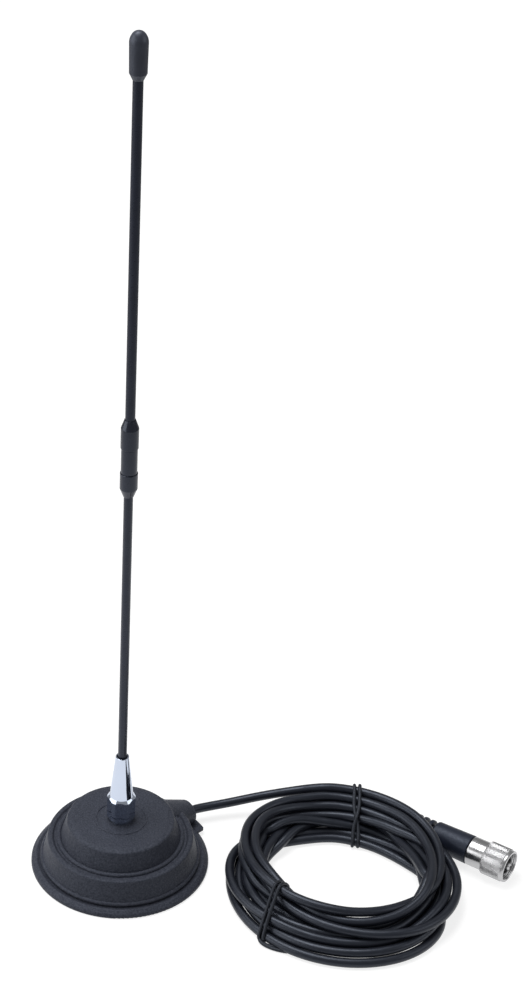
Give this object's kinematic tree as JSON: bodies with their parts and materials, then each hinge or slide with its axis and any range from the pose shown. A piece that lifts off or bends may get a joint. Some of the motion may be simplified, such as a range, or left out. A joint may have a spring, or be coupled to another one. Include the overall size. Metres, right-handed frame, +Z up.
{
  "type": "magnetic mount antenna",
  "caption": "whip antenna on a round magnetic base with a rubber cover, a chromed adaptor, a tied coil of coaxial cable and a screw plug",
  "frame": {"origin": "centre of the magnet base on the surface it stands on", "axes": "+Z up along the whip, +X toward the coil of cable, -Y toward the viewer of the picture"},
  "size_m": [0.2612, 0.1304, 0.4748],
  "materials": {
    "cover_rubber": "matte",
    "zinc_steel": "zinc plated",
    "ferrite": "ground ferrite",
    "white_plastic": "satin",
    "brass": "turned",
    "copper": "bare copper",
    "liner_film": "matte film",
    "chrome": "polished",
    "glass_fibre": "drawn",
    "whip_sleeve": "satin sleeve",
    "black_plastic": "satin",
    "cable_jacket": "satin jacket",
    "tie_wire": "coated wire",
    "boot_plastic": "moulded satin",
    "nickel": "nickel plated"
  },
  "bodies": {
    "antenna": {"rubber_cover": "cover_rubber", "steel_shell": "zinc_steel", "ring_magnet": "ferrite", "centre_pole": "zinc_steel", "pole_screw": "zinc_steel", "stud_insulator": "white_plastic", "contact_stud": "brass", "solder_tag": "brass", "stud_nut": "brass", "inner_cable": "cable_jacket", "core_lead": "copper", "braid_lead": "copper", "cable_clamp": "black_plastic", "clamp_screws": "zinc_steel", "base_liner": "liner_film", "whip_adaptor": "chrome", "whip_ferrule": "brass", "lower_rod": "glass_fibre", "lower_winding": "copper", "lower_sleeve": "whip_sleeve", "coupling_lower_collar": "black_plastic", "coupling_sleeve": "black_plastic", "coupling_upper_collar": "black_plastic", "joint_ferrule": "brass", "upper_rod": "glass_fibre", "upper_winding": "copper", "upper_sleeve": "whip_sleeve", "tip_cap": "black_plastic", "cable_lead": "cable_jacket", "cable_coil": "cable_jacket", "rear_tie": "tie_wire", "front_tie": "tie_wire", "cable_tail": "cable_jacket", "plug_boot": "boot_plastic", "plug_body": "nickel", "plug_insulator": "white_plastic", "centre_pin": "nickel"},
    "plug_ring": {"coupling_ring": "nickel"}
  },
  "joints": [
    {"name": "coupling_ring_spin", "type": "hinge", "parent": "antenna", "child": "plug_ring", "pos_m": [0.19349, 0.01073, 0.0093], "axis": [0.8572, -0.515, 0], "continuous": true}
  ]
}
